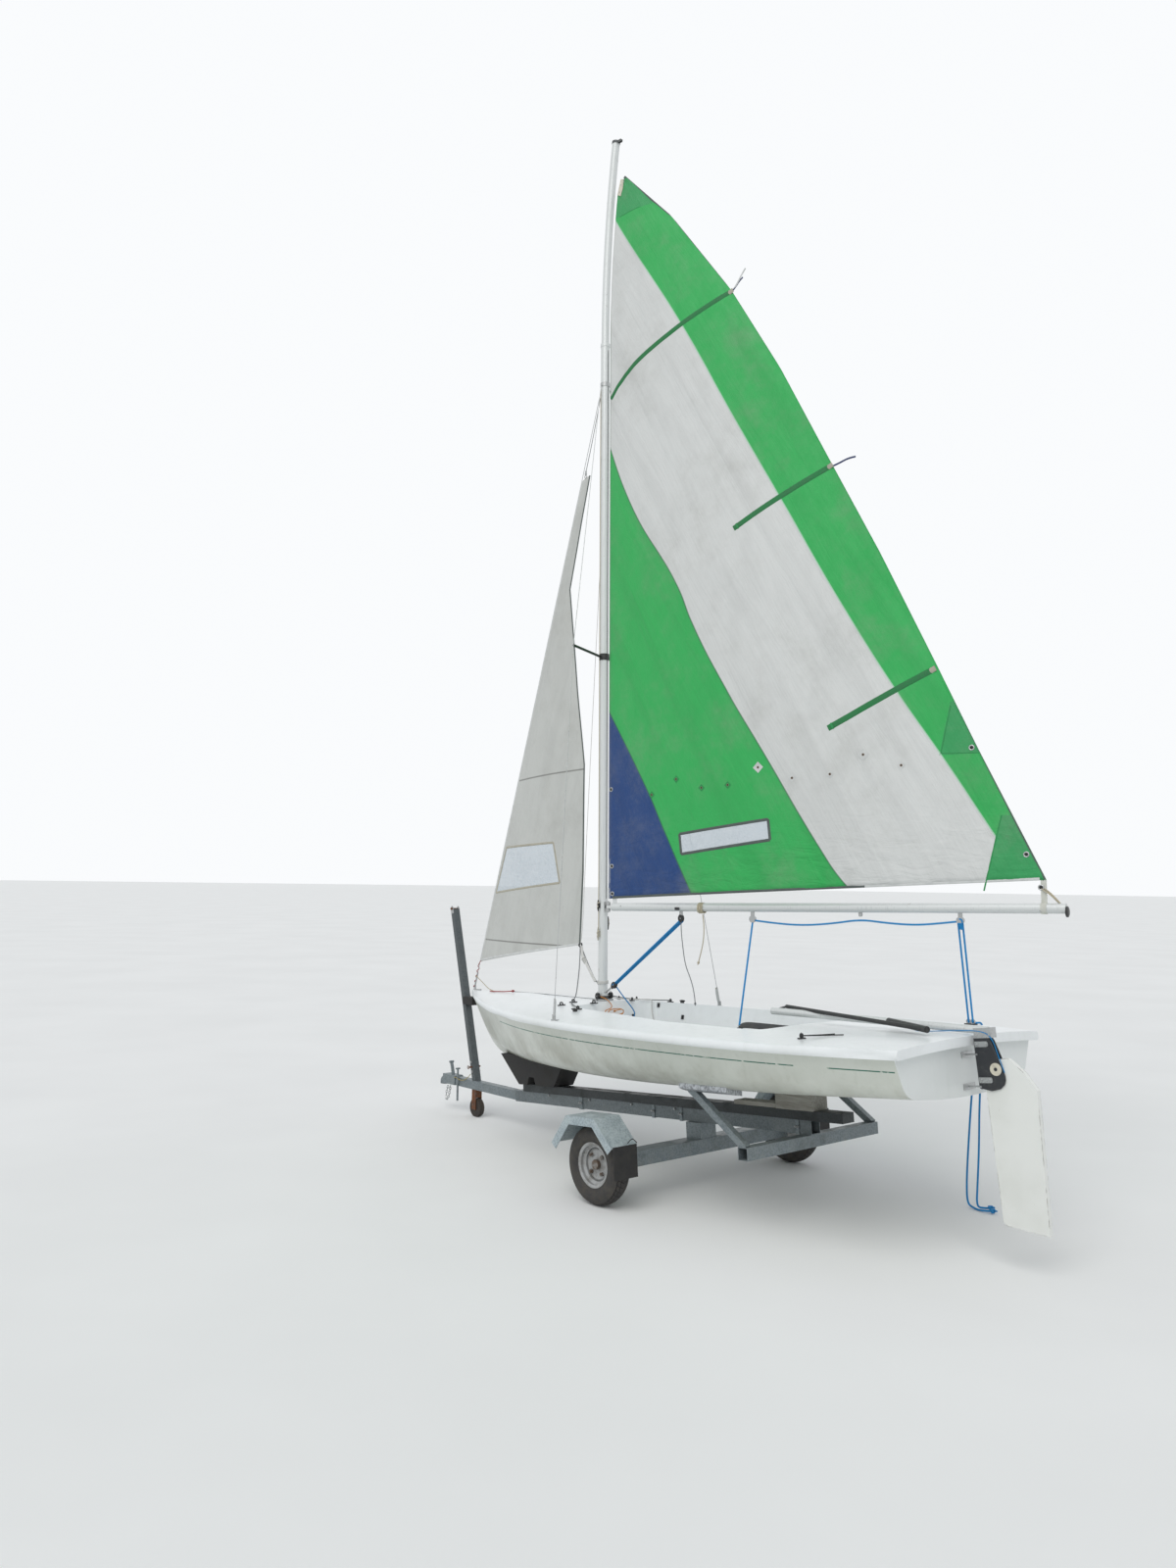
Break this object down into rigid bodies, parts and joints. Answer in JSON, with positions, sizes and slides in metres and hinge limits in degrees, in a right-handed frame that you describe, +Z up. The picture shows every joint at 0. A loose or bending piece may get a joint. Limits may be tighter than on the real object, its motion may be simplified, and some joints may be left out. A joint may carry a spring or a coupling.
{
  "type": "sailing dinghy on road trailer",
  "caption": "Rigged sloop dinghy with mainsail, jib, swinging boom, kick-up rudder and tiller, standing on its single-axle road trailer with jockey wheel.",
  "frame": {"origin": "on the ground, under the middle of the overall length and on the centreline", "axes": "+X towards the bow and the trailer's coupling, +Y to port, +Z up"},
  "size_m": [4.6047, 1.694, 6.4443],
  "materials": {
    "galvanised": "aged hot-dip galvanised steel, rust at the edges",
    "flap_rubber": "black rubber",
    "spar": "anodised, dull",
    "black_plastic": "black",
    "stainless": "stainless steel",
    "board": "white painted foil",
    "gelcoat_deck": "weathered white gelcoat",
    "webbing": "woven strap",
    "gelcoat_hull": "weathered pale grey-green gelcoat",
    "sailcloth_jib": "greyish white sailcloth",
    "jockey_tyre": "black rubber",
    "wood": "weathered timber",
    "sailcloth_main": "green, white and blue sailcloth panels",
    "masthead_alloy": "dull cast alloy",
    "white_plastic": "cream plastic",
    "rim": "silver-grey paint",
    "rudder_alloy": "dark coated alloy",
    "tiller": "pale coated tube, scuffed",
    "tyre": "dusty black rubber"
  },
  "bodies": {
    "root": {"axle": "galvanised", "beam_clamps": "galvanised", "bilge_pads": "flap_rubber", "bow_cradle": "flap_rubber", "bow_fitting": "stainless", "bow_post": "galvanised", "bow_stop": "flap_rubber", "centreboard": "board", "centreboard_case": "gelcoat_deck", "chainplates": "stainless", "cockpit_liner": "gelcoat_deck", "coupling": "galvanised", "coupling_lever": "galvanised", "deck": "gelcoat_deck", "fenders": "galvanised", "forestay": "stainless", "gooseneck": "stainless", "hounds_band": "stainless", "hull": "gelcoat_hull", "jib": "sailcloth_jib", "jockey_fork": "galvanised", "keel_rail": "galvanised", "keel_rests": "wood", "main_beam": "galvanised", "mast_lower": "spar", "mast_step": "stainless", "mast_upper": "spar", "masthead": "masthead_alloy", "mudflaps": "flap_rubber", "prop_rod": "galvanised", "rear_crossbeam": "galvanised", "shrouds": "stainless", "side_arms": "galvanised", "spreaders": "black_plastic", "tongue": "galvanised", "transom_gudgeons": "stainless"},
    "wheel_port": {"tyre_port": "tyre", "rim_port": "rim"},
    "wheel_starboard": {"tyre_starboard": "tyre", "rim_starboard": "rim"},
    "jockey_wheel": {"jockey_wheel": "jockey_tyre"},
    "boom": {"boom": "spar", "mainsail": "sailcloth_main", "clew_strap": "webbing", "boom_blocks": "black_plastic"},
    "rudder": {"rudder_stock": "rudder_alloy", "tiller": "tiller", "tiller_head": "stainless", "tiller_extension": "black_plastic", "rudder_straps": "stainless", "pivot_caps": "white_plastic"},
    "rudder_blade": {"rudder_blade": "board"}
  },
  "joints": [
    {"name": "wheel_port_spin", "type": "hinge", "parent": "root", "child": "wheel_port", "pos_m": [-0.29, 0.747, 0.2], "axis": [0, 1, 0], "continuous": true},
    {"name": "wheel_starboard_spin", "type": "hinge", "parent": "root", "child": "wheel_starboard", "pos_m": [-0.29, -0.747, 0.2], "axis": [0, 1, 0], "continuous": true},
    {"name": "jockey_spin", "type": "hinge", "parent": "root", "child": "jockey_wheel", "pos_m": [1.86636, 0, 0.062], "axis": [0, 1, 0], "continuous": true},
    {"name": "boom_swing", "type": "hinge", "parent": "root", "child": "boom", "pos_m": [0.5145, 0, 1.47619], "axis": [0.014, 0, 0.9999], "range_deg": [-68, 42]},
    {"name": "rudder_turn", "type": "hinge", "parent": "root", "child": "rudder", "pos_m": [-1.96696, 0, 0.92919], "axis": [0.1323, 0, 0.9912], "range_deg": [-40, 40]},
    {"name": "blade_lift", "type": "hinge", "parent": "rudder", "child": "rudder_blade", "pos_m": [-2.07191, 0, 0.83827], "axis": [0, 1, 0], "range_deg": [0, 90]}
  ]
}
